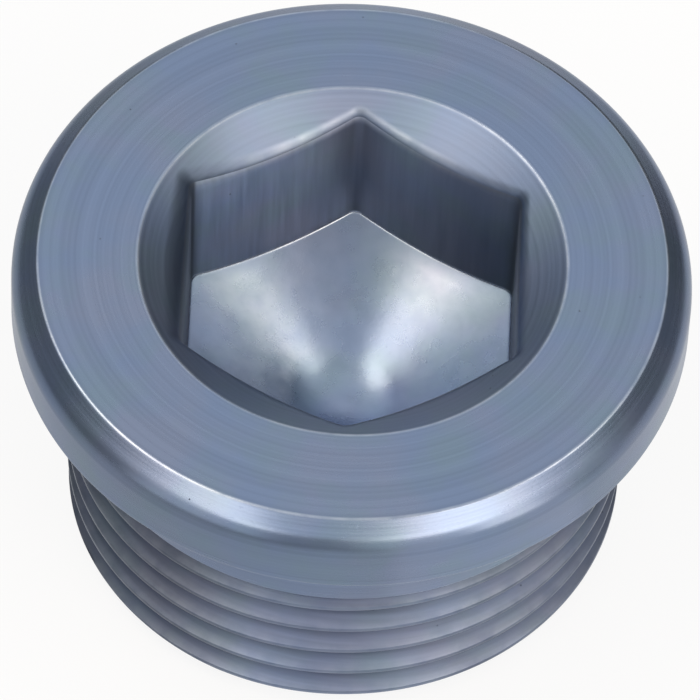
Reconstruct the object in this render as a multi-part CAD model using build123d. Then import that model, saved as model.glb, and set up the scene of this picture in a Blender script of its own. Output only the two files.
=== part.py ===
from build123d import *

import os
from math import atan, cos, degrees, hypot, radians, tan

# Hexagon socket screw plug with a collar, M30 x 2, made for a 17 mm hexagon key.
# The real plug is one piece of steel: a cold-formed blank whose outside is turned.
# The axis is Z. The origin is the centre of the threaded end face, on which it stands.

# Collar, the round head that presses on the sealing ring
COLLAR_DIAMETER = 36.0
COLLAR_HEIGHT = 4.4
COLLAR_TOP_FLAT = 33.3       # diameter where the top face ends and the sloped edge begins
COLLAR_EDGE_DROP = 1.0       # how far down the side the sloped edge reaches
COLLAR_EDGE_TOP_RADIUS = 0.35
COLLAR_EDGE_SIDE_RADIUS = 1.5
COLLAR_FOOT_CHAMFER = 0.25   # small break on the lower edge of the collar

# Shank, a plain cylinder at the major diameter of the thread, which covers its lower 10.6 mm
THREAD_DIAMETER = 30.0
SHANK_LENGTH = 16.0
END_CHAMFER = 1.3            # 45 degrees, down past the root of the thread
SHANK_TOP_RADIUS = 0.3       # where the shank meets the underside of the collar

# Hexagon socket, formed by a punch with a blunt conical nose
KEY_SIZE = 17.36             # across flats at the foot of the walls, for a 17 mm key
MOUTH_SIZE = 17.55           # across flats at the level of the top face
WALL_DEPTH = 9.17            # top face to the foot of the walls, at the six corners
CORNER_RADIUS = 0.7          # upright corners between two walls
NOSE_SLOPE = 24.0            # degrees, how steeply the floor falls towards the axis
NOSE_FLAT_DIAMETER = 3.2     # blunt end of the punch
NOSE_FLAT_RADIUS = 5.5       # soft edge round that blunt end
COUNTERSINK_DIAMETER = 22.7
COUNTERSINK_SLOPE = 30.0     # degrees below the top face, a 120 degree countersink
RIM_RADIUS = 0.5             # soft edge between the top face and the countersink
MOUTH_RADIUS = 1.1           # rolled-over edge between the countersink and the walls
FOOT_RADIUS = 0.2            # inside corner between the walls and the floor

# Worked out from the above
TOTAL_LENGTH = COLLAR_HEIGHT + SHANK_LENGTH
COLLAR_RADIUS = COLLAR_DIAMETER / 2
THREAD_RADIUS = THREAD_DIAMETER / 2
WALL_DRAFT = degrees(atan((MOUTH_SIZE - KEY_SIZE) / 2 / WALL_DEPTH))
CORNER_REACH = KEY_SIZE / 2 / cos(radians(30)) - CORNER_RADIUS * (1 / cos(radians(30)) - 1)
CONE_TIP = TOTAL_LENGTH - WALL_DEPTH - CORNER_REACH * tan(radians(NOSE_SLOPE))
FLOOR_BOTTOM = CONE_TIP + NOSE_FLAT_DIAMETER / 2 * tan(radians(NOSE_SLOPE))
ABOVE_TOP = 2.0              # how far the cutting shapes stand above the top face

# Where edges are looked for when they are rounded
ON_SURFACE = 0.01            # an edge this close to a surface lies on it
ALONG_EDGE = (0.0, 0.5, 1.0)   # places along an edge that are tested
SOCKET_EDGES = (0.45 * KEY_SIZE, 0.6 * MOUTH_SIZE)   # radii that the walls' edges lie between
RIM_EDGES = (0.49 * COUNTERSINK_DIAMETER, 0.51 * COUNTERSINK_DIAMETER)


def rounded(section, x, z, radius):
    """The section with its corner nearest to (x, z) rounded."""
    corner = section.vertices().sort_by_distance((x, 0, z))[0]
    return fillet(corner, radius)


def outer_section():
    """Half section of the outside: end face, shank, collar, top face."""
    outline = Polyline(
        (0, 0),
        (THREAD_RADIUS - END_CHAMFER, 0),
        (THREAD_RADIUS, END_CHAMFER),
        (THREAD_RADIUS, SHANK_LENGTH),
        (COLLAR_RADIUS - COLLAR_FOOT_CHAMFER, SHANK_LENGTH),
        (COLLAR_RADIUS, SHANK_LENGTH + COLLAR_FOOT_CHAMFER),
        (COLLAR_RADIUS, TOTAL_LENGTH - COLLAR_EDGE_DROP),
        (COLLAR_TOP_FLAT / 2, TOTAL_LENGTH),
        (0, TOTAL_LENGTH),
        close=True,
    )
    section = Plane.XZ * make_face(outline)
    section = rounded(section, COLLAR_TOP_FLAT / 2, TOTAL_LENGTH, COLLAR_EDGE_TOP_RADIUS)
    side_corner = TOTAL_LENGTH - COLLAR_EDGE_DROP
    section = rounded(section, COLLAR_RADIUS, side_corner, COLLAR_EDGE_SIDE_RADIUS)
    return rounded(section, THREAD_RADIUS, SHANK_LENGTH, SHANK_TOP_RADIUS)


def socket_prism():
    """Six walls that lean in slightly with depth, with two of the corners on the Y axis."""
    hexagon = RegularPolygon(MOUTH_SIZE / 2, 6, major_radius=False, rotation=30)
    hexagon = fillet(hexagon.vertices(), CORNER_RADIUS)
    depth = TOTAL_LENGTH - CONE_TIP
    below = extrude(Plane.XY.offset(TOTAL_LENGTH) * hexagon, -depth, taper=WALL_DRAFT)
    above = extrude(Plane.XY.offset(TOTAL_LENGTH) * hexagon, ABOVE_TOP)
    return below + above


def punch_nose():
    """Everything above the conical floor, wide enough to hold the whole socket."""
    reach = COLLAR_RADIUS
    outline = Polyline(
        (0, FLOOR_BOTTOM),
        (NOSE_FLAT_DIAMETER / 2, FLOOR_BOTTOM),
        (reach, floor_height(reach)),
        (reach, TOTAL_LENGTH + ABOVE_TOP),
        (0, TOTAL_LENGTH + ABOVE_TOP),
        close=True,
    )
    section = Plane.XZ * make_face(outline)
    section = rounded(section, NOSE_FLAT_DIAMETER / 2, FLOOR_BOTTOM, NOSE_FLAT_RADIUS)
    return revolve(section, Axis.Z)


def countersink():
    """Shallow cone that opens the mouth of the socket."""
    radius = COUNTERSINK_DIAMETER / 2
    outline = Polyline(
        (0, TOTAL_LENGTH - radius * tan(radians(COUNTERSINK_SLOPE))),
        (radius, TOTAL_LENGTH),
        (0, TOTAL_LENGTH),
        close=True,
    )
    return revolve(Plane.XZ * make_face(outline), Axis.Z)


def edges_on(body, height_at, inner_limit, outer_limit):
    """Edges that lie on the turned surface z = height_at(r), between two radii."""
    def lies_on(edge):
        for place in ALONG_EDGE:
            point = edge.position_at(place)
            radius = hypot(point.X, point.Y)
            if not inner_limit < radius < outer_limit:
                return False
            if abs(point.Z - height_at(radius)) > ON_SURFACE:
                return False
        return True
    return body.edges().filter_by(lies_on)


def countersink_height(radius):
    return TOTAL_LENGTH - (COUNTERSINK_DIAMETER / 2 - radius) * tan(radians(COUNTERSINK_SLOPE))


def floor_height(radius):
    return CONE_TIP + radius * tan(radians(NOSE_SLOPE))


def soften_edges(body):
    """Round the rim, the mouth and the foot of the socket."""
    foot = edges_on(body, floor_height, *SOCKET_EDGES)
    body = fillet(foot, FOOT_RADIUS)
    mouth = edges_on(body, countersink_height, *SOCKET_EDGES)
    body = fillet(mouth, MOUTH_RADIUS)
    rim = edges_on(body, countersink_height, *RIM_EDGES)
    return fillet(rim, RIM_RADIUS)


def plug_body():
    """The whole plug: the turned outside with the hexagon socket punched into it."""
    outside = revolve(outer_section(), Axis.Z)
    socket = socket_prism() & punch_nose()
    body = outside - socket - countersink()
    body = soften_edges(body)
    body.label = "plug_body"
    return body


def main():
    os.makedirs("parts", exist_ok=True)
    body = plug_body()
    export_step(body, "parts/plug_body.step")
    print("length", TOTAL_LENGTH, "socket floor at z", round(FLOOR_BOTTOM, 2))
    print("wall draft", round(WALL_DRAFT, 2), "degrees, volume", round(body.volume), "mm3")


main()
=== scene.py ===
# %% [markdown]
# # A hexagon socket screw plug
# This plug closes a threaded oil port. The real one is a single piece of steel: a round collar that seals
# on the housing, a threaded shank below it, and a hexagon socket in its top for the key. It is turned on a
# lathe, the socket is pressed in with a punch, and the whole piece is then zinc plated.
# The CAD part is the starting point. It has the true sizes but a plain shank, and its box is kept here.

from math import cos, pi, radians, sin, tan

import bmesh
import bpy
import numpy as np
from mathutils import Matrix, Vector


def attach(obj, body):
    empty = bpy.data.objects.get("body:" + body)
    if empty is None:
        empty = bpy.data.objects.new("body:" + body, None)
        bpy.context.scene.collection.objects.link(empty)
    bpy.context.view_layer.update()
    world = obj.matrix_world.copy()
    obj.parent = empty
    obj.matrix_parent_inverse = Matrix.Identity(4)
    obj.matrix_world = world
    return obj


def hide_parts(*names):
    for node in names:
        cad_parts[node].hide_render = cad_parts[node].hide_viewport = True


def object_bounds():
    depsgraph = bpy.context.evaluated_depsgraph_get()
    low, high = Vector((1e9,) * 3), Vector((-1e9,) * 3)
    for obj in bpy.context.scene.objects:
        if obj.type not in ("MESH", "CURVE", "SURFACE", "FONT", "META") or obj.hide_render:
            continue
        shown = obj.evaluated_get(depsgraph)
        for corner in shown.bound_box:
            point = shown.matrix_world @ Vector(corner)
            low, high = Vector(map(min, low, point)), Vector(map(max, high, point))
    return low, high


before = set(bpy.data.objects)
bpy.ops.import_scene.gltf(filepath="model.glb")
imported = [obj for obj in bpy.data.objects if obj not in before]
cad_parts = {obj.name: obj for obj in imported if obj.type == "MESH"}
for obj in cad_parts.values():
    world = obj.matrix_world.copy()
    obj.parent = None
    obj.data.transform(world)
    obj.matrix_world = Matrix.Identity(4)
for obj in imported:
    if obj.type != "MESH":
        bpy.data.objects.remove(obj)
cad_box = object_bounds()
MM = 0.001
print("CAD box in mm:", [round(v / MM, 2) for corner in cad_box for v in corner])

# %% [markdown]
# ## Sizes
# Everything is drawn in millimetres and shrunk to metres only when the mesh is made, because machine parts
# are drawn in millimetres. The axis of the plug is Z, and the flat end of the shank lies on Z = 0. The
# width and the height are read from the CAD box, so the mesh can't grow out of it.

# %% Sizes of the collar and the shank, in millimetres
COLLAR_RADIUS = round(cad_box[1][0] / MM, 3)
TOP = round(cad_box[1][2] / MM, 3)
COLLAR_FOOT = 16.0
COLLAR_FLAT_RADIUS = 16.65    # where the top face ends and the sloped edge begins
COLLAR_EDGE_DROP = 1.0        # how far down the side the sloped edge reaches
COLLAR_FOOT_CHAMFER = 0.25
THREAD_RADIUS = 15.0
THREAD_PITCH = 2.0
THREAD_TOP = 10.6             # the shank is plain above this height
END_CHAMFER = 1.3             # at 45 degrees, down past the root of the thread
END_RADIUS = THREAD_RADIUS - END_CHAMFER
print("thread M", 2 * THREAD_RADIUS, "x", THREAD_PITCH, "on a collar of", 2 * COLLAR_RADIUS, "mm")

# %% Sizes of the socket, in millimetres
KEY_SIZE = 17.36              # across flats at the foot of the walls
MOUTH_SIZE = 17.55            # across flats at the height of the top face
WALL_DEPTH = 9.17             # from the top face to the foot of the walls, at the corners
SOCKET_CORNER = 0.7           # radius of the six upright corners
NOSE_SLOPE = radians(24)      # how steeply the floor falls to the middle
NOSE_FLAT_RADIUS = 1.6        # the punch's nose is blunt inside this radius
COUNTERSINK_RADIUS = 11.35
COUNTERSINK_SLOPE = radians(30)
corner_reach = (KEY_SIZE / 2 - SOCKET_CORNER) / cos(pi / 6) + SOCKET_CORNER
NOSE_TIP = round(TOP - WALL_DEPTH - corner_reach * tan(NOSE_SLOPE), 2)
print("key size", round(KEY_SIZE), "and the floor's tip at", NOSE_TIP, "mm")

# %% [markdown]
# ## Columns round the axis
# The collar and the shank are round and the socket has six sides, so one grid of points has to serve both.
# Every row of the grid is a ring round the axis, and every column is a half-plane at one angle. The columns
# stand close together at the six corners of the socket, where the wall turns sharply, and wider apart
# elsewhere.

# %% Angles of the columns
SIXTH = pi / 3
CORNER_SPAN = radians(2.3)
CORNER_COLUMNS = 10
FLAT_COLUMNS = 36


def column_angles():
    """Angles from 0 to a full turn. The socket's corners are at 30, 90, 150 degrees and so on."""
    corner = SIXTH / 2 + np.linspace(-CORNER_SPAN, CORNER_SPAN, CORNER_COLUMNS + 1)
    flat = np.linspace(-SIXTH / 2 + CORNER_SPAN, SIXTH / 2 - CORNER_SPAN, FLAT_COLUMNS + 1)
    one_side = np.concatenate([flat[:-1], corner[:-1]])
    angles = np.concatenate([one_side + SIXTH * side for side in range(6)])
    return np.append(angles, angles[0] + 2 * pi)


ANGLES = column_angles()
print(len(ANGLES) - 1, "columns round the axis")

# %% [markdown]
# ## The hexagon
# For each angle this gives how far the socket's wall is from the axis. The six corners are rounded, as the
# punch that presses the socket has rounded edges. Its flats also taper a little, so that it comes out of
# the steel again. The floor and the countersink slope, so they meet the wall higher at the corners than at
# the flats. Each round of the search below brings that height closer.

# %% Reach of the socket's wall
SEARCH_ROUNDS = 8


def hexagon_reach(angle, across_flats):
    """Distance from the axis to a hexagon with rounded corners, at each angle."""
    flat = across_flats / 2
    from_flat = np.abs((angle + SIXTH / 2) % SIXTH - SIXTH / 2)
    from_corner = SIXTH / 2 - from_flat
    centre = (flat - SOCKET_CORNER) / cos(SIXTH / 2)
    inside = np.clip(SOCKET_CORNER**2 - (centre * np.sin(from_corner)) ** 2, 0, None)
    round_part = centre * np.cos(from_corner) + np.sqrt(inside)
    round_starts = np.arctan((1 - SOCKET_CORNER / flat) * tan(SIXTH / 2))
    return np.where(from_flat > round_starts, round_part, flat / np.cos(from_flat))


def wall_size(height):
    """Across flats of the tapered socket at a height."""
    return MOUTH_SIZE - (TOP - height) * (MOUTH_SIZE - KEY_SIZE) / WALL_DEPTH


def floor_height(radius):
    """Height of the socket's conical floor at a distance from the axis."""
    return NOSE_TIP + radius * tan(NOSE_SLOPE)


def countersink_height(radius):
    """Height of the countersink at a distance from the axis."""
    return TOP - (COUNTERSINK_RADIUS - radius) * tan(COUNTERSINK_SLOPE)


def meet_wall(height_at):
    """Where a sloping floor or countersink meets the socket's wall, as radius and height at each angle."""
    height = np.full(len(ANGLES), TOP)
    for _ in range(SEARCH_ROUNDS):
        reach = hexagon_reach(ANGLES, wall_size(height))
        height = height_at(reach)
    return reach, height


foot = meet_wall(floor_height)
mouth = meet_wall(countersink_height)
print("wall foot at", foot[1].min().round(2), "to", foot[1].max().round(2), "mm")

# %% [markdown]
# ## One section, from the socket's floor to the thread
# A turned part is fully told by the line of its section. The line starts on the axis at the bottom of the
# socket and runs up the wall, over the collar and down to the thread. No edge of a real part is perfectly
# sharp, and the small rounding on each one is what catches the light, so each corner of the line has a
# radius of its own. Drawing the rounding in the mesh, and not with a bevel modifier, keeps every ring where
# it should be.

# %% Round a corner of the section
HOLD = 0.1    # a row this far beyond a rounding, in millimetres, holds the surface there flat


def unit(vectors):
    """The same directions, each with a length of 1."""
    return vectors / np.linalg.norm(vectors, axis=-1, keepdims=True)


def ring(radius, height):
    """One row of the grid: radius and height at every column."""
    return np.stack(np.broadcast_arrays(radius + 0 * ANGLES, height + 0 * ANGLES), axis=-1)


def rounded(before, corner, after, radius, shares):
    """Rows on an arc of that radius at these shares of its turn, with a hold row before and after it."""
    back = unit(before - corner)
    ahead = unit(after - corner)
    opening = np.arccos(np.clip((back * ahead).sum(-1, keepdims=True), -1, 1))
    centre = corner + unit(back + ahead) * radius / np.sin(opening / 2)
    start = corner + back * radius / np.tan(opening / 2) - centre
    end = corner + ahead * radius / np.tan(opening / 2) - centre
    turn = pi - opening
    rows = [centre + start + back * HOLD]
    for share in shares:
        mix = np.sin((1 - share) * turn) * start + np.sin(share * turn) * end
        rows.append(centre + mix / np.sin(turn))
    return rows + [centre + end + ahead * HOLD]


# %% [markdown]
# ## Wear, painted light and softness round the axis
# A real plug isn't the same all round. A punch can drag more steel along on one side of the mouth and leave
# a softer rounding there, and keys rub some edges more than others. Highlights and shade are painted in
# with the wear as well. Each of these is a number that changes with the angle, and where they lie is listed
# here. For wear, 1 is rubbed down to bright zinc, which also serves as a painted highlight, and a number
# below 0 is drawn dull and dark, a painted shade in a hollow.

# %% What changes with the angle
MOUTH_RADIUS = 1.1
MOUTH_DRAG = 1.4    # how much larger that radius is at 180 degrees, in millimetres


def patch(angle, spread):
    """1 at one angle round the axis, fading away on both sides of it."""
    return np.exp(-(((ANGLES - radians(angle)) / radians(spread)) ** 2))


def facing(angle):
    """1 at one angle round the axis, and 0 from a quarter turn away."""
    return np.clip(np.cos(ANGLES - radians(angle)), 0, None) ** 4


mouth_radius = (MOUTH_RADIUS + MOUTH_DRAG * facing(180))[:, None]
# Painted highlights drawn as rubbed zinc: near the nose on the left and near the foot of two walls. At the
# mouth, a painted highlight at the back and painted shade on the left.
nose_highlight = 0.5 * patch(190, 45)
floor_highlight = 0.2 * patch(56, 18) + 0.12 * patch(138, 18)
mouth_highlight_and_shade = 0.35 * facing(90) - 0.7 * patch(180, 30)
print("mouth rounding from", mouth_radius.min(), "to", mouth_radius.max().round(2), "mm")

# %% The finishes, as numbers
TURNED, PRESSED, WALL, COUNTERSUNK, THREADED = range(5)

# %% The section's corners
# Each line is the ring at the corner, its rounding in millimetres, the steps in the rounding, the finish
# that starts part way round it, and how worn the edge is, which carries painted light too: above 0 rubbed
# zinc and a painted highlight, below 0 a painted shade.
NOSE_HIGHLIGHT_RADIUS = 3.4
FLOOR_HIGHLIGHT_INSET = 0.8
nose_flat = floor_height(NOSE_FLAT_RADIUS)
chamfer_top = COLLAR_FOOT + COLLAR_FOOT_CHAMFER
chamfer_radius = COLLAR_RADIUS - COLLAR_FOOT_CHAMFER
wall_foot = ring(*foot)
wall_top = ring(*mouth)
up_the_wall = wall_foot * 0.6 + wall_top * 0.4
near_foot = foot[0] - FLOOR_HIGHLIGHT_INSET
section = [
    (ring(0, nose_flat), 0, 0, PRESSED, 0.0),
    (ring(NOSE_FLAT_RADIUS, nose_flat), 5.5, 8, PRESSED, 0.0),
    (ring(NOSE_HIGHLIGHT_RADIUS, floor_height(NOSE_HIGHLIGHT_RADIUS)), 0, 0, PRESSED, nose_highlight),
    (ring(near_foot, floor_height(near_foot)), 0, 0, PRESSED, floor_highlight),
    # The foot of the wall is drawn as a bright line: rubbed zinc and a painted highlight.
    (wall_foot, 0.2, 6, WALL, 0.6),
    (up_the_wall, 0, 0, WALL, 0.0),
    (wall_top, mouth_radius, 12, COUNTERSUNK, mouth_highlight_and_shade),
    (ring(COUNTERSINK_RADIUS, TOP), 0.5, 6, TURNED, 0.35),
    (ring(COLLAR_FLAT_RADIUS, TOP), 0.35, 6, TURNED, 0.4),
    (ring(COLLAR_RADIUS, TOP - COLLAR_EDGE_DROP), 1.5, 8, TURNED, 0.05),
    (ring(COLLAR_RADIUS, chamfer_top), 0.1, 2, TURNED, 0.4),
    (ring(chamfer_radius, COLLAR_FOOT), 0.1, 2, TURNED, 0.3),
    # The corner under the collar is drawn dark, a painted shade.
    (ring(THREAD_RADIUS, COLLAR_FOOT), 0.3, 4, TURNED, -0.7),
    (ring(THREAD_RADIUS, THREAD_TOP + HOLD), 0, 0, TURNED, 0.0),
    (ring(THREAD_RADIUS, THREAD_TOP), 0, 0, TURNED, 0.0),
]
print(len(section), "corners in the section")

# %% Painted shade in the corners of the socket
# All six hollow corners are drawn dull and dark, a painted shade, and the top of the back one most.
CORNER_SHADE_SPREAD = radians(2.2)
BACK_SHADE_HEIGHTS = (12.0, 15.0)    # the painted shade at the back fades in between these, in millimetres
CORNER_SHADE_STRENGTH = 0.6
hollow_corner_shade = np.exp(-(((ANGLES % SIXTH - SIXTH / 2) / CORNER_SHADE_SPREAD) ** 2))
back_corner_shade = patch(90, 12)


def corner_shade(height):
    """How much painted shade the wall has at each angle, in a row at these heights."""
    high_up = np.interp(height, BACK_SHADE_HEIGHTS, (0.0, 1.0))
    return CORNER_SHADE_STRENGTH * np.maximum(hollow_corner_shade, back_corner_shade * high_up)


# %% Rows of the section
FINISH_CHANGE = 0.4    # the share of a rounding at which the next finish starts


def wear_and_light_along(share, steps, finish):
    """How much of its wear and painted light an edge has at a share of its rounding. The mouth's sits on
    its upper half.
    """
    if not steps:
        return 1.0
    return sin(pi * share**1.5) if finish == COUNTERSUNK else sin(pi * share)


def section_rows(corners):
    """All rows of the section, the finish of the band after each row, and how worn each row is, with its
    painted light.
    """
    rows = []
    finishes = []
    wear_and_light = []
    for k, (place, radius, steps, finish, edge_wear_and_light) in enumerate(corners):
        before = corners[k - 1][3]
        shares = [1.0]
        arc = [place]
        if steps:
            turns = np.linspace(0, 1, steps + 1)
            arc = rounded(corners[k - 1][0], place, corners[k + 1][0], radius, turns)
            shares = [0.0, *turns, 1.0]
        for share, row in zip(shares, arc):
            rows.append(row)
            finishes.append(finish if share >= FINISH_CHANGE else before)
            on_wall = share * (finish == WALL) + (1 - share) * (before == WALL)
            wear_and_light.append(edge_wear_and_light * wear_and_light_along(share, steps, finish) - on_wall * corner_shade(row[:, 1]))
    return rows, finishes, wear_and_light


body_rows, body_finishes, body_wear_and_light = section_rows(section)
print(len(body_rows), "rows from the socket's floor to the thread")

# %% [markdown]
# ## The thread
# A thread could be a spiral groove cut with a boolean, but a grid that climbs with the thread is cleaner:
# each row follows the helix, so crests and roots stay crisp. The profile is the standard metric one, with
# flanks at 60 degrees to each other, a flat crest and a rounded root. The tool is drawn out gradually at
# the top, so the groove gets shallower there, and the chamfer at the end cuts the thread off.

# %% Thread profile, in millimetres
FLANK_ANGLE = radians(30)
CREST_HALF_WIDTH = THREAD_PITCH / 8 / 2
ROOT_ROUND = 0.1443 * THREAD_PITCH    # radius of the root, as the standard has it
SHARP_DEPTH = (THREAD_PITCH / 2 - CREST_HALF_WIDTH) / tan(FLANK_ANGLE)
HALF_PROFILE = [0.09, 0.135, 0.17, 0.45, 0.75, 0.81, 0.87, 0.935, 1.0]    # rows, from crest to root
CREST_AT_ANGLE_ZERO = 0.05
RUN_OUT_SLOPE = 0.85    # how fast the groove gets shallower with height


def thread_radius(from_crest):
    """Radius of the threaded shank at a distance along the axis from the middle of a crest."""
    away = np.abs((from_crest + THREAD_PITCH / 2) % THREAD_PITCH - THREAD_PITCH / 2)
    flank = np.clip((away - CREST_HALF_WIDTH) / tan(FLANK_ANGLE), 0, None)
    across = np.clip(ROOT_ROUND**2 - (THREAD_PITCH / 2 - away) ** 2, 0, None)
    root = SHARP_DEPTH - 2 * ROOT_ROUND + np.sqrt(across)
    in_root = THREAD_PITCH / 2 - away < ROOT_ROUND * cos(FLANK_ANGLE)
    return THREAD_RADIUS - np.where(in_root, root, flank)


def chamfer_cut(height):
    """Radius of the blank at the chamfered end. The thread can't stand out further."""
    return END_RADIUS + height


def run_out(height):
    """Radius of the groove's floor where the tool is drawn out. The groove can't be deeper."""
    return THREAD_RADIUS - (THREAD_TOP - height) * RUN_OUT_SLOPE


depth = THREAD_RADIUS - thread_radius(THREAD_PITCH / 2)
print("thread depth", round(float(depth), 3), "mm")

# %% Rows that climb with the thread
TEST_STEP = 0.005    # in millimetres
TESTED_HEIGHTS = np.linspace(0, THREAD_TOP, round(THREAD_TOP / TEST_STEP) + 1)


def snap_to_edge(heights, lead, limit):
    """Moves the nearest row of each column onto the edge where the thread meets another surface."""
    for column in range(heights.shape[1]):
        over = thread_radius(TESTED_HEIGHTS - lead[column]) - limit(TESTED_HEIGHTS)
        for k in np.flatnonzero((over[:-1] > 0) != (over[1:] > 0)):
            share = over[k] / (over[k] - over[k + 1])
            below, above = TESTED_HEIGHTS[k : k + 2]
            edge = below + share * (above - below)
            nearest = np.abs(heights[:, column] - edge).argmin()
            heights[nearest, column] = edge


def thread_rows():
    """Rows from the plain shank down to its end, each one following the helix."""
    half = np.array(HALF_PROFILE)
    one_pitch = np.concatenate([half, THREAD_PITCH - half[-2::-1]])
    lead = CREST_AT_ANGLE_ZERO + THREAD_PITCH * ANGLES / (2 * pi)
    whole_pitches = int(THREAD_TOP / THREAD_PITCH)
    crests = [THREAD_PITCH * (whole_pitches + 1 - n) for n in range(whole_pitches + 3)]
    offsets = np.concatenate([crest - one_pitch for crest in crests])
    heights = np.clip(offsets[:, None] + lead[None, :], 0, THREAD_TOP)
    snap_to_edge(heights, lead, chamfer_cut)
    snap_to_edge(heights, lead, run_out)
    heights = np.sort(heights, axis=0)[::-1]
    radii = np.maximum(thread_radius(heights - lead), run_out(heights))
    radii = np.minimum(radii, chamfer_cut(heights))
    return [np.stack([r, z], axis=-1) for r, z in zip(radii, heights)]


shank_rows = thread_rows()
end_rows = [ring(radius, 0) for radius in (END_RADIUS, END_RADIUS - HOLD, END_RADIUS / 2, 0)]
print(len(shank_rows), "rows in the thread")

# %% Wear and painted light on the thread
# The crests are drawn bright, rubbed by handling and also a painted highlight, and the roots dull and dark,
# a painted shade in the grooves.
WEAR_AND_LIGHT_DEPTHS = (0.0, 0.25, 0.9, 1.2)    # below the crest, in millimetres
WEAR_AND_LIGHT_THERE = (0.15, 0.0, 0.0, -0.5)
shank_wear_and_light = [np.interp(THREAD_RADIUS - row[:, 0], WEAR_AND_LIGHT_DEPTHS, WEAR_AND_LIGHT_THERE) for row in shank_rows]

# %% [markdown]
# ## The mesh
# The rows are laid on each other as one grid, and points that fall on each other are welded: the seam, the
# centre of the socket's floor, the centre of the end face, and rows that lie beyond the thread's two ends.
# How worn each point is, with the highlight and shade that are painted in, goes into the mesh as an
# attribute of its own, so that the finishes can read it.
# Worked out here it is exact, where guessing edges from the shape of the mesh would depend on its spacing.

# %% Build the grid


def grid_mesh(name, rows, finishes, wear_and_light):
    """A closed mesh from rows of points. Each column is a half-plane at one of the ANGLES."""
    grid = np.array(rows)
    count, columns = grid.shape[:2]
    points = np.stack(
        [grid[..., 0] * np.cos(ANGLES), grid[..., 0] * np.sin(ANGLES), grid[..., 1]], axis=-1
    )
    index = np.arange(count * columns).reshape(count, columns)
    faces = np.stack([index[:-1, :-1], index[1:, :-1], index[1:, 1:], index[:-1, 1:]], axis=-1)
    mesh = bpy.data.meshes.new(name)
    mesh.from_pydata((points.reshape(-1, 3) * MM).tolist(), [], faces.reshape(-1, 4).tolist())
    # The attribute holds wear and painted light: rubbed zinc and painted highlights above 0, dull zinc and
    # painted shade below 0.
    mesh.attributes.new("wear_and_light", "FLOAT", "POINT").data.foreach_set("value", np.ravel(wear_and_light))
    mesh.polygons.foreach_set("material_index", np.repeat(finishes[: count - 1], columns - 1))
    return mesh


rows = body_rows + shank_rows + end_rows
finishes = body_finishes + [THREADED] * len(shank_rows) + [TURNED] * len(end_rows)
wear_and_light = body_wear_and_light + shank_wear_and_light + [0 * ANGLES] * len(end_rows)
plug_mesh = grid_mesh("screw_plug", rows, finishes, wear_and_light)
print(len(plug_mesh.vertices), "points before the weld")

# %% Weld it, and cut the quads that are folded
# Where an edge of the thread steps from one row to the next, it crosses a quad and folds it. Such a quad is
# cut along its fold, which is a hollow where the groove runs out and a ridge at the chamfered end.
WELD_DISTANCE = 1e-7    # in metres
NO_AREA = 1e-14         # in square metres
FOLD = 0.02             # in millimetres


def cut_folded_quads(work):
    """Cuts each quad with one diagonal that stands out from the other by more than the fold."""
    before = len(work.faces)
    for face in [face for face in work.faces if len(face.verts) == 4]:
        a, b, c, d = face.verts
        stands_out = (a.co + c.co - b.co - d.co).dot(face.normal) / 2
        if abs(stands_out) < FOLD * MM:
            continue
        is_ridge = stands_out > 0
        wants_ridge = a.co.z < THREAD_TOP / 2 * MM
        ends = (a, c) if is_ridge == wants_ridge else (b, d)
        bmesh.utils.face_split(face, *ends)
    print("folded quads cut:", len(work.faces) - before)


def weld(mesh):
    """Welds the points that fall on each other, and prints whether the mesh is closed."""
    work = bmesh.new()
    work.from_mesh(mesh)
    bmesh.ops.remove_doubles(work, verts=work.verts, dist=WELD_DISTANCE)
    work.normal_update()
    cut_folded_quads(work)
    print("faces with no area:", sum(face.calc_area() < NO_AREA for face in work.faces))
    print("edges without two faces:", sum(len(edge.link_faces) != 2 for edge in work.edges))
    print("volume in mm3:", round(work.calc_volume(signed=True) / MM**3, 1))
    work.to_mesh(mesh)
    work.free()


weld(plug_mesh)

# %% Shade it smooth
# Every rounding is smooth, and only the crisp edges of the thread turn by more than this angle.
SHARP_ANGLE = radians(38)
plug_mesh.polygons.foreach_set("use_smooth", [True] * len(plug_mesh.polygons))
plug_mesh.set_sharp_from_angle(angle=SHARP_ANGLE)
plug = bpy.data.objects.new("screw_plug", plug_mesh)
bpy.context.scene.collection.objects.link(plug)
print("triangles:", sum(len(p.vertices) - 2 for p in plug_mesh.polygons))

# %% [markdown]
# ## The finish
# Zinc plating is a few thousandths of a millimetre of soft bluish metal over the steel. It follows every
# tool mark below it and dulls the shine a little. A blue passivation on top gives the cool grey tint.

# %% Helpers for materials


def colour(hex_code):
    """sRGB hex to linear RGBA, which is what Blender's sockets expect."""
    parts = [int(hex_code[k : k + 2], 16) / 255 for k in (1, 3, 5)]
    linear = [p / 12.92 if p <= 0.04045 else ((p + 0.055) / 1.055) ** 2.4 for p in parts]
    return (*linear, 1.0)


def add_node(tree, kind, inputs=None, **settings):
    """Adds a node. An input's value is a number or colour, or the socket that feeds it."""
    node = tree.nodes.new("ShaderNode" + kind)
    for name, value in settings.items():
        setattr(node, name, value)
    for name, value in (inputs or {}).items():
        if isinstance(value, bpy.types.NodeSocket):
            tree.links.new(value, node.inputs[name])
        else:
            node.inputs[name].default_value = value
    return node


# %% [markdown]
# ## What all the finishes share
# The film of blue passivation is not even. It forms soft clouds a few millimetres across that lean to
# violet or to green, so its colour is mixed from three hex colours by two slow noises. The plating itself
# has a fine grain, a few pits where gas bubbles sat, and thin scratches from handling.
# All of them are placed by the object's own coordinates, in millimetres, so nothing slides when the camera
# moves and no seam shows.

# %% Colours of the plating
BLUE_FILM = colour("#7686A2")
VIOLET_FILM = colour("#7C879F")
GREEN_FILM = colour("#76899A")
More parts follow.
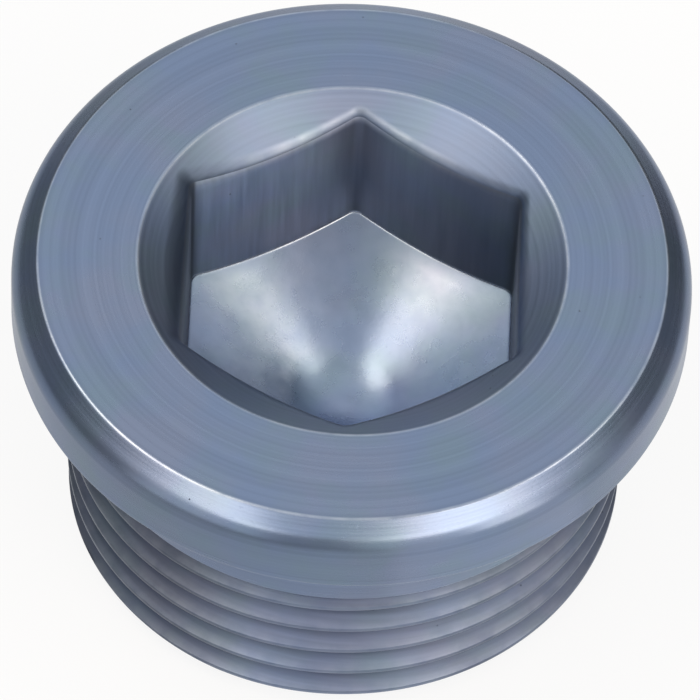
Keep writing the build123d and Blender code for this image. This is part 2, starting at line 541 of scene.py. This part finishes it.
# Rubbed zinc also stands for painted highlights, and dull zinc for painted shade in hollows as well as for
# the pits.
RUBBED_ZINC_AND_HIGHLIGHT = colour("#C6CED8")
DULL_ZINC_AND_SHADE = colour("#3A3F4B")

# %% Clouds in the film
VIOLET_CLOUD = 6.25    # width of the clouds, in millimetres
GREEN_CLOUD = 3.333
ELSEWHERE = (31.0, 7.0, 12.0)    # keeps the second noise from following the first
MIX_A = 6      # a Mix node has sockets for numbers, then for vectors, then these for colours
MIX_B = 7
MIX_OUT = 2


def place_in_mm(tree):
    """Where a point lies on the plug, in millimetres."""
    where = add_node(tree, "TexCoord")
    inputs = {0: where.outputs["Object"], "Scale": 1 / MM}
    return add_node(tree, "VectorMath", inputs, operation="SCALE").outputs[0]


def passivation(tree, place):
    """The film's clouds, and their colour."""
    inputs = {"Vector": place, "Scale": 1 / VIOLET_CLOUD, "Detail": 4.0}
    clouds = add_node(tree, "TexNoise", inputs).outputs[0]
    moved = add_node(tree, "VectorMath", {0: place, 1: ELSEWHERE}, operation="ADD")
    inputs = {"Vector": moved.outputs[0], "Scale": 1 / GREEN_CLOUD, "Detail": 3.0}
    others = add_node(tree, "TexNoise", inputs).outputs[0]
    violet = add_node(tree, "MapRange", {"Value": clouds, "From Min": 0.38, "From Max": 0.62})
    inputs = {"Value": others, "From Min": 0.45, "From Max": 0.7, "To Max": 0.8}
    green = add_node(tree, "MapRange", inputs)
    inputs = {0: violet.outputs[0], MIX_A: BLUE_FILM, MIX_B: VIOLET_FILM}
    film = add_node(tree, "Mix", inputs, data_type="RGBA")
    inputs = {0: green.outputs[0], MIX_A: film.outputs[MIX_OUT], MIX_B: GREEN_FILM}
    film = add_node(tree, "Mix", inputs, data_type="RGBA")
    return clouds, film.outputs[MIX_OUT]


# %% Pits and scratches, in millimetres
PIT_SPACING = 1.1
PIT_RADIUS = 0.07
NO_PIT = 0.8    # the share of the cells that have no pit
SCRATCH_LENGTH = 5.0
SCRATCH_WIDTH = 0.1
SCRATCH_TURNS = (0.5, 2.1)
SCRATCH_TILT = (0.3, 0.2)


def pits(tree, place):
    """1 in the middle of a pit and 0 outside. Only some of the cells have one."""
    cells = add_node(tree, "TexVoronoi", {"Vector": place, "Scale": 1 / PIT_SPACING})
    chance = add_node(tree, "SeparateXYZ", {0: cells.outputs["Color"]})
    chosen = add_node(tree, "Math", {0: chance.outputs[0], 1: NO_PIT}, operation="GREATER_THAN")
    inputs = {"Value": cells.outputs["Distance"], "From Max": PIT_RADIUS / PIT_SPACING}
    inputs.update({"To Min": 1.0, "To Max": 0.0})
    dip = add_node(tree, "MapRange", inputs, interpolation_type="SMOOTHSTEP")
    inputs = {0: dip.outputs[0], 1: chosen.outputs[0]}
    return add_node(tree, "Math", inputs, operation="MULTIPLY").outputs[0]


def stretched_noise(tree, place, spacing, detail):
    """Noise with its own spacing along X, Y and Z, in millimetres."""
    scale = tuple(1 / side for side in spacing)
    squeezed = add_node(tree, "VectorMath", {0: place, 1: scale}, operation="MULTIPLY")
    inputs = {"Vector": squeezed.outputs[0], "Scale": 1.0, "Detail": detail}
    return add_node(tree, "TexNoise", inputs).outputs[0]


def scratches(tree, place, turn):
    """Thin straight scratches in one direction, from a noise that is stretched along it."""
    inputs = {"Vector": place, "Rotation": (*SCRATCH_TILT, turn)}
    turned = add_node(tree, "VectorRotate", inputs, rotation_type="EULER_XYZ").outputs[0]
    stretched = stretched_noise(tree, turned, (SCRATCH_LENGTH, SCRATCH_WIDTH, SCRATCH_WIDTH), 0.0)
    inputs = {"Value": stretched, "From Min": 0.74, "From Max": 0.82}
    return add_node(tree, "MapRange", inputs).outputs[0]


# %% [markdown]
# ## Tool marks
# Each way of making a surface leaves marks of its own below the plating. A lathe leaves rings, a punch that
# slides in leaves upright lines on the walls, its polished nose leaves a softly uneven floor, and the
# thread's marks follow the thread. Real turning marks stand about 0.1 mm apart. That is too fine to show
# here, so they are drawn about twice as coarse.

# %% Rings left by the lathe
TURNING_PITCH = 0.22    # spacing of the fine rings, in millimetres
TURNING_BAND = 1.5      # width of the lighter and darker bands they lie in
FINE_SHARE = 0.65


def distance_to_axis(tree, place):
    """How far a point is from the axis."""
    flat = add_node(tree, "VectorMath", {0: place, 1: (1.0, 1.0, 0.0)}, operation="MULTIPLY")
    return add_node(tree, "VectorMath", {0: flat.outputs[0]}, operation="LENGTH").outputs["Value"]


def turning_marks(tree, place):
    """Rings round the axis, drawn from the distance to the axis and the height."""
    height = add_node(tree, "SeparateXYZ", {0: place})
    inputs = {"X": distance_to_axis(tree, place), "Y": height.outputs["Z"]}
    section_place = add_node(tree, "CombineXYZ", inputs).outputs[0]
    marks = 0.0
    for spacing, share in ((TURNING_PITCH, FINE_SHARE), (TURNING_BAND, 1 - FINE_SHARE)):
        inputs = {"Vector": section_place, "Scale": 1 / spacing, "Detail": 1.0}
        rings = add_node(tree, "TexNoise", inputs, noise_dimensions="2D")
        inputs = {0: rings.outputs[0], 1: share, 2: marks}
        marks = add_node(tree, "Math", inputs, operation="MULTIPLY_ADD").outputs[0]
    return marks


# %% Upright lines, uneven floor and thread marks
# Their spacing along X, Y and Z, in millimetres.
PUNCH_LINES = (0.28, 0.28, 5.0)
FLOOR_LUMPS = (1.3, 1.3, 1.3)
THREAD_LINES = (8.0, 8.0, 0.16)


def punch_lines(tree, place):
    """Upright lines where the punch slid along the wall."""
    return stretched_noise(tree, place, PUNCH_LINES, 3.0)


def pressed_floor(tree, place):
    """The soft unevenness of steel that flowed under the punch."""
    return stretched_noise(tree, place, FLOOR_LUMPS, 4.0)


def thread_marks(tree, place):
    """Fine lines along the thread. It climbs so little in a turn that level lines follow it."""
    return stretched_noise(tree, place, THREAD_LINES, 2.0)


# %% [markdown]
# ## Zinc-plated steel
# The plating is a metal, so its metallic is 1 and its colour is the colour of its reflections. Typical
# roughness of plated steel is 0.2 to 0.5: low on the turned faces, and high on the walls and the
# countersink. Edges that are rubbed lose their film and show bright bare zinc, and the same bright zinc is
# a painted highlight on some edges and on patches of the floor. Hollows are drawn dull and dark, a painted
# shade. All finishes are one recipe with other marks, so that they still look like one bath of plating.
# Two of the recipe's arguments are a cheat. Real plating has one colour all over. The lift sets how light a
# finish is, and the fades change that along an axis. They stand for light and shade that the simple studio
# below doesn't give, and all of them are set for the view that its camera has.

# %% Wear and painted light
WEAR_AND_HIGHLIGHT_PATCH = 1.111      # width of the patches that wear and painted highlights are broken into, in millimetres
DULL_AND_SHADE_STRENGTH = 0.85    # how much of a hollow's colour is dull zinc, as painted shade, where its value is -1


def rubbed_lit_and_shaded(tree, place):
    """How rubbed and how dull a point is: rubbed zinc that also serves as a painted highlight, and dull
    zinc as painted shade. Rubbing is broken up, so that no edge is worn evenly.
    """
    wear_and_light_fac = add_node(tree, "Attribute", attribute_name="wear_and_light").outputs["Fac"]
    patchy = add_node(tree, "TexNoise", {"Vector": place, "Scale": 1 / WEAR_AND_HIGHLIGHT_PATCH, "Detail": 4.0})
    inputs = {"Value": patchy.outputs[0], "From Min": 0.3, "From Max": 0.6, "To Min": 0.35}
    strength = add_node(tree, "MapRange", inputs)
    broken = add_node(tree, "Math", {0: wear_and_light_fac, 1: strength.outputs[0]}, operation="MULTIPLY")
    rubbed_and_lit = add_node(tree, "Math", {0: broken.outputs[0], 1: 0.0}, operation="MAXIMUM")
    inputs = {0: wear_and_light_fac, 1: -DULL_AND_SHADE_STRENGTH}
    dull_and_shaded = add_node(tree, "Math", inputs, operation="MULTIPLY", use_clamp=True)
    return rubbed_and_lit.outputs[0], dull_and_shaded.outputs[0]


# %% Colour of the plating


def faded(tree, place, tint, fades):
    """The tint made lighter or darker along an axis: from where to where, and from what to what."""
    across = add_node(tree, "SeparateXYZ", {0: place})
    for axis, start, end, first, last in fades:
        inputs = {"Value": across.outputs[axis], "From Min": start, "From Max": end}
        inputs.update({"To Min": first, "To Max": last})
        fade = add_node(tree, "MapRange", inputs, interpolation_type="SMOOTHSTEP").outputs[0]
        tint = add_node(tree, "VectorMath", {0: tint, "Scale": fade}, operation="SCALE").outputs[0]
    return tint


def marked(tree, tint, grooves, tone):
    """The tint darker in the grooves and lighter between them."""
    inputs = {"Value": grooves, "From Min": 0.3, "From Max": 0.7}
    inputs.update({"To Min": 1 - tone, "To Max": 1 + tone})
    shade = add_node(tree, "MapRange", inputs).outputs[0]
    return add_node(tree, "VectorMath", {0: tint, "Scale": shade}, operation="SCALE").outputs[0]


# %% Roughness of the plating
RUBBED_ROUGHNESS = 0.2
DULL_ROUGHNESS = 0.55
CLOUD_ROUGHNESS = 0.16     # how much rougher the film is from one cloud to the next
GROOVE_ROUGHNESS = 0.12


def roughened(tree, roughness, clouds, grooves, rubbed_and_lit, dull_and_shaded):
    """The finish's own roughness, changed by the clouds, the grooves and the wear."""
    inputs = {0: clouds, 1: CLOUD_ROUGHNESS, 2: roughness - CLOUD_ROUGHNESS / 2}
    rough = add_node(tree, "Math", inputs, operation="MULTIPLY_ADD")
    inputs = {0: grooves, 1: GROOVE_ROUGHNESS, 2: rough.outputs[0]}
    rough = add_node(tree, "Math", inputs, operation="MULTIPLY_ADD")
    for share, there in ((rubbed_and_lit, RUBBED_ROUGHNESS), (dull_and_shaded, DULL_ROUGHNESS)):
        rough = add_node(tree, "Mix", {0: share, 2: rough.outputs[0], 3: there}, data_type="FLOAT")
    return rough.outputs[0]


# %% Relief of the plating, in millimetres
PIT_DEPTH = 0.012
GRAIN_DEPTH = 0.0008
GRAIN_SIZE = 0.18
SCRATCH_DEPTH = 0.0015


def relief(tree, place, grooves, depth, pit):
    """The bumps of the grooves, the grain, the pits and the scratches, one over the other."""
    lines = [scratches(tree, place, turn) for turn in SCRATCH_TURNS]
    scratch = add_node(tree, "Math", {0: lines[0], 1: lines[1]}, operation="MAXIMUM").outputs[0]
    grain = add_node(tree, "TexNoise", {"Vector": place, "Scale": 1 / GRAIN_SIZE, "Detail": 2.0})
    normal = add_node(tree, "Bump", {"Height": grooves, "Distance": depth * MM})
    steps = [(grain.outputs[0], GRAIN_DEPTH), (pit, -PIT_DEPTH), (scratch, -SCRATCH_DEPTH)]
    for height, step in steps:
        inputs = {"Height": height, "Distance": abs(step) * MM, "Normal": normal.outputs[0]}
        normal = add_node(tree, "Bump", inputs, invert=step < 0)
    return normal.outputs[0]


# %% The recipe


def zinc_plated(name, roughness, marks, depth, tone=0.08, lift=(1.0, 1.0, 1.0), fades=()):
    """One finish: its roughness, its tool marks and their depth in millimetres, their contrast, how much
    lighter or darker its red, green and blue are, and how that fades along an axis, in millimetres."""
    material = bpy.data.materials.new(name)
    material.use_nodes = True
    tree = material.node_tree
    tree.nodes.clear()
    place = place_in_mm(tree)
    grooves = marks(tree, place)
    clouds, film = passivation(tree, place)
    rubbed_and_lit, dull_and_shaded = rubbed_lit_and_shaded(tree, place)
    pit = pits(tree, place)

    lifted = add_node(tree, "VectorMath", {0: film, 1: lift}, operation="MULTIPLY").outputs[0]
    tint = marked(tree, faded(tree, place, lifted, fades), grooves, tone)
    # Rubbed zinc with painted highlights, then dull zinc with painted shade, then the pits.
    for share, there in ((rubbed_and_lit, RUBBED_ZINC_AND_HIGHLIGHT), (dull_and_shaded, DULL_ZINC_AND_SHADE), (pit, DULL_ZINC_AND_SHADE)):
        inputs = {0: share, MIX_A: tint, MIX_B: there}
        tint = add_node(tree, "Mix", inputs, data_type="RGBA").outputs[MIX_OUT]
    rough = roughened(tree, roughness, clouds, grooves, rubbed_and_lit, dull_and_shaded)
    normal = relief(tree, place, grooves, depth, pit)
    inputs = {"Base Color": tint, "Metallic": 1.0, "Roughness": rough, "Normal": normal}
    metal = add_node(tree, "BsdfPrincipled", inputs)
    add_node(tree, "OutputMaterial", {"Surface": metal.outputs["BSDF"]})
    plug_mesh.materials.append(material)
    print(name, "has", len(tree.nodes), "nodes")


# %% The five finishes, in the order of their numbers
# Turned: smooth, with fine rings, so a highlight is drawn out across them.
zinc_plated("zinc_plated_steel_turned", 0.2, turning_marks, 0.0035)
# Pressed: a polished punch leaves soft broad lumps, which give wide, clear reflections. Its lift is painted
# light, and the fade, a painted shade, makes the back of the floor darker.
zinc_plated(
    "zinc_plated_steel_pressed",
    0.23,
    pressed_floor,
    0.012,
    tone=0.05,
    lift=(1.4, 1.37, 1.32),
    fades=[("Y", -8.0, 9.0, 1.16, 0.6)],
)
# Wall: rubbed by the sides of the punch and by keys, so it is rough, with upright lines. Its lift makes it
# paler, a painted light. The fades, painted light and shade, make the walls lighter on the left and darker
# on the right, and darken the wall that faces right.
zinc_plated(
    "zinc_plated_steel_wall",
    0.46,
    punch_lines,
    0.005,
    tone=0.06,
    lift=(1.75, 1.6, 1.42),
    fades=[("X", -3.0, 8.0, 1.5, 0.57), ("X", -8.67, -8.48, 0.35, 1.0)],
)
# Countersunk: turned as well, but rougher, so its shine is broad and soft. The fades, a painted shade, make
# it a little darker on the left and at the front.
zinc_plated(
    "zinc_plated_steel_countersunk",
    0.36,
    turning_marks,
    0.0035,
    lift=(0.95, 0.95, 0.95),
    fades=[("X", -9.5, -6.0, 0.84, 1.0), ("Y", -2.0, 7.0, 0.93, 1.0)],
)
# Threaded: rough from the cutting, with lines along the thread. It is drawn darker than the rest, a painted
# shade, and the fades, painted shade and light, make it darkest on the left and a little lighter at the
# very front.
zinc_plated(
    "zinc_plated_steel_threaded",
    0.34,
    thread_marks,
    0.004,
    tone=0.12,
    lift=(0.62, 0.62, 0.66),
    fades=[("X", -10.0, -2.0, 0.68, 1.0), ("Y", -15.2, -12.5, 1.25, 0.8)],
)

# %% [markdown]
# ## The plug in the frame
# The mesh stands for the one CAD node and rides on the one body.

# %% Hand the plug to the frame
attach(plug, "root")
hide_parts("plug_body")

# %% [markdown]
# ## Studio
# Shiny metal shows its surroundings more than itself, so most of the look is in what it mirrors: a white
# room, two rows of soft lights overhead to the left and the right, and dark cards low at the sides that
# draw the edges. The lamps are a little warm and the room is a little cool. On the floor the two even out
# to white, and in the metal they part into warm streaks on a cool ground.
# Most of what the camera and the metal see of the floor and the room is plain white, and not light from the
# lamps. The rest of the floor is matt white paper that the lamps light, so it shows the plug's soft shadow.

# %% Floor
FLOOR_SIZE = 6.0     # metres, as for everything in the studio
FLOOR_GLOW = 0.87    # the share of plain white in what is seen of the floor
WHITE = colour("#FFFFFF")
PAPER = colour("#FCFCFC")


def seen_directly(tree):
    """1 for rays that see the room as the eye does: from the camera, in a mirror or through glass."""
    path = add_node(tree, "LightPath")
    inputs = {0: path.outputs["Is Camera Ray"], 1: path.outputs["Is Glossy Ray"]}
    seen = add_node(tree, "Math", inputs, operation="MAXIMUM")
    inputs = {0: seen.outputs[0], 1: path.outputs["Is Transmission Ray"]}
    return add_node(tree, "Math", inputs, operation="MAXIMUM").outputs[0]


half = FLOOR_SIZE / 2
floor_corners = [(-half, -half, 0), (half, -half, 0), (half, half, 0), (-half, half, 0)]
floor_mesh = bpy.data.meshes.new("floor")
floor_mesh.from_pydata(floor_corners, [], [(0, 1, 2, 3)])
floor = bpy.data.objects.new("floor", floor_mesh)
bpy.context.scene.collection.objects.link(floor)
paper = bpy.data.materials.new("white_paper")
paper.use_nodes = True
tree = paper.node_tree
tree.nodes.clear()
sheet = add_node(tree, "BsdfDiffuse", {"Color": PAPER})
glow = add_node(tree, "Emission", {"Color": WHITE, "Strength": 1.0})
glow_share = add_node(tree, "Math", {0: seen_directly(tree), 1: FLOOR_GLOW}, operation="MULTIPLY")
inputs = {0: glow_share.outputs[0], 1: sheet.outputs[0], 2: glow.outputs[0]}
both = add_node(tree, "MixShader", inputs)
add_node(tree, "OutputMaterial", {"Surface": both.outputs[0]})
floor_mesh.materials.append(paper)
print("floor", FLOOR_SIZE, "m wide")

# %% Room
ROOM_LIGHT = 0.565    # how bright the room is as a lamp. Seen directly it is 1, plain white
COOL = colour("#E7F2FF")
world = bpy.data.worlds.new("white_room")
bpy.context.scene.world = world
world.use_nodes = True
tree = world.node_tree
tree.nodes.clear()
seen = seen_directly(tree)
strength = add_node(tree, "MapRange", {"Value": seen, "To Min": ROOM_LIGHT, "To Max": 1.0})
tint = add_node(tree, "Mix", {0: seen, MIX_A: COOL, MIX_B: WHITE}, data_type="RGBA")
inputs = {"Color": tint.outputs[MIX_OUT], "Strength": strength.outputs[0]}
sky = add_node(tree, "Background", inputs)
add_node(tree, "OutputWorld", {"Surface": sky.outputs["Background"]})
print("room light", ROOM_LIGHT)

# %% Soft lights
LIGHT_HEIGHT = 0.9
LAMP_WHITE = colour("#FFEBD2")[:3]    # a lamp's colour has no fourth number


def soft_light(name, centre, size, radiance):
    """A rectangular soft light overhead that faces down: a radiance of 1 looks white in a mirror."""
    lamp = bpy.data.lights.new(name, "AREA")
    lamp.shape = "RECTANGLE"
    lamp.size, lamp.size_y = size
    lamp.energy = radiance * pi * size[0] * size[1]
    lamp.color = LAMP_WHITE
    light = bpy.data.objects.new(name, lamp)
    light.location = (*centre, LIGHT_HEIGHT)
    light.visible_camera = False
    bpy.context.scene.collection.objects.link(light)
    return light


def upright_light(name, place, width, height, radiance):
    """The same kind of light, standing on the floor and turned to the plug."""
    light = soft_light(name, place, (width, height), radiance)
    light.location.z = height / 2
    light.rotation_euler = (-Vector((*place, 0))).to_track_quat("-Z", "Y").to_euler()


soft_light("left_back_softbox", (-0.43, 0.11), (0.36, 0.62), 3.4)
soft_light("left_front_softbox", (-0.56, -0.75), (0.42, 0.90), 2.9)
soft_light("right_back_softbox", (0.60, 0.00), (0.36, 0.40), 2.7)
soft_light("right_front_softbox", (0.57, -0.82), (0.58, 1.04), 3.4)
upright_light("right_front_panel", (0.62, -0.58), 0.28, 0.70, 1.8)
print(len(bpy.data.lights), "soft lights")

# %% Cards
# Cards darken parts of the room where the metal mirrors them. Only reflections show them. Each one is grey
# felt, which has no shine, so its reflection is an even patch.


def card(name, corners, shade):
    """A flat card between its corners, grey enough to look like that share of white."""
    mesh = bpy.data.meshes.new(name)
    mesh.from_pydata(corners, [], [range(len(corners))])
    piece = bpy.data.objects.new(name, mesh)
    piece.visible_camera = False
    piece.visible_diffuse = False
    piece.visible_shadow = False
    bpy.context.scene.collection.objects.link(piece)
    felt = bpy.data.materials.new(name)
    felt.use_nodes = True
    tree = felt.node_tree
    tree.nodes.clear()
    glow = add_node(tree, "Emission", {"Color": WHITE, "Strength": shade})
    add_node(tree, "OutputMaterial", {"Surface": glow.outputs["Emission"]})
    mesh.materials.append(felt)
    return glow


def standing_card(name, start, end, height, shade):
    """An upright card on the floor, from start to end."""
    card(name, [(*start, 0), (*end, 0), (*end, height), (*start, height)], shade)


standing_card("left_card", (-0.5, -0.30), (-0.5, 0.35), 0.42, 0.25)
standing_card("back_left_card", (-0.5, 0.35), (-0.18, 0.60), 0.42, 0.25)
standing_card("right_front_card", (0.5, -0.25), (0.5, -0.05), 0.36, 0.65)
standing_card("right_card", (0.5, -0.05), (0.5, 0.35), 0.40, 0.22)
standing_card("back_right_card", (0.5, 0.35), (0.12, 0.62), 0.48, 0.15)
standing_card("front_card", (-0.19, -0.5), (0.06, -0.5), 0.46, 0.45)

# %% Outline of the mat
# A mat round the plug, darker further out and on the left, that only reflections show. It leaves a gap at
# the front right. It stands for darker floor and, near the plug, for the floor's shade: a painted shade
# that the metal mirrors.
MAT_INSIDE = 0.016
MAT_OUTSIDE = 0.48
MAT_HEIGHT = 0.0001
MAT_START = radians(-28)
MAT_END = radians(284)
MAT_POINTS = 64


def arc(radius, start, end):
    """Points on an arc round the plug."""
    turns = np.linspace(start, end, MAT_POINTS)
    return [(radius * cos(turn), radius * sin(turn), MAT_HEIGHT) for turn in turns]


outline = arc(MAT_INSIDE, MAT_START, MAT_END) + arc(MAT_OUTSIDE, MAT_END, MAT_START)
mat_glow = card("dark_floor_and_shade_mat", outline, 1.0)
print("mat from", MAT_INSIDE, "to", MAT_OUTSIDE, "m")

# %% Grey level of the mat
# Each fade is where it starts and ends, in metres, and the shade at its start and at its end.
MAT_OUTWARDS = (0.03, 0.2, 0.82, 0.5)
MAT_FROM_LEFT = (-0.03, 0.0, 0.82, 1.0)
FADE_INPUTS = ("From Min", "From Max", "To Min", "To Max")
mat_tree = mat_glow.id_data
where = add_node(mat_tree, "TexCoord").outputs["Object"]
reach = add_node(mat_tree, "VectorMath", {0: where}, operation="LENGTH").outputs["Value"]
across = add_node(mat_tree, "SeparateXYZ", {0: where}).outputs["X"]
outwards = add_node(mat_tree, "MapRange", {"Value": reach, **dict(zip(FADE_INPUTS, MAT_OUTWARDS))})
from_left = add_node(mat_tree, "MapRange", {"Value": across, **dict(zip(FADE_INPUTS, MAT_FROM_LEFT))})
inputs = {0: outwards.outputs[0], 1: from_left.outputs[0]}
shade = add_node(mat_tree, "Math", inputs, operation="MULTIPLY")
mat_tree.links.new(shade.outputs[0], mat_glow.inputs["Strength"])
print("the mat's material has", len(mat_tree.nodes), "nodes")

# %% [markdown]
# ## Camera
# A long lens from a little under half a metre, looking down at 54 degrees and tipped slightly to one side.
# From so far away the near and the far edge of the collar look almost the same size, so its outline stays
# close to a true ellipse.

# %% Camera
CAMERA_DISTANCE = 0.45
CAMERA_PITCH = 0.948     # radians below level
CAMERA_ROLL = 0.0493
LENS_LENGTH = 432.6      # millimetres, on a film 36 mm wide
FILM_WIDTH = 36
AIM = Vector((0.0000882, 0, 0.0121416))
forward = Vector((0, cos(CAMERA_PITCH), -sin(CAMERA_PITCH)))
level = Vector((1, 0, 0))
above = Vector((0, sin(CAMERA_PITCH), cos(CAMERA_PITCH)))
right = level * cos(CAMERA_ROLL) + above * sin(CAMERA_ROLL)
up = above * cos(CAMERA_ROLL) - level * sin(CAMERA_ROLL)
lens = bpy.data.cameras.new("camera")
lens.lens = LENS_LENGTH
lens.sensor_width = FILM_WIDTH
camera = bpy.data.objects.new("camera", lens)
turn = Matrix((right, up, -forward)).transposed()
camera.matrix_world = Matrix.Translation(AIM - forward * CAMERA_DISTANCE) @ turn.to_4x4()
bpy.context.scene.collection.objects.link(camera)
bpy.context.scene.camera = camera
bpy.context.scene.view_settings.view_transform = "Standard"
print("camera at", [round(v, 3) for v in camera.matrix_world.translation])
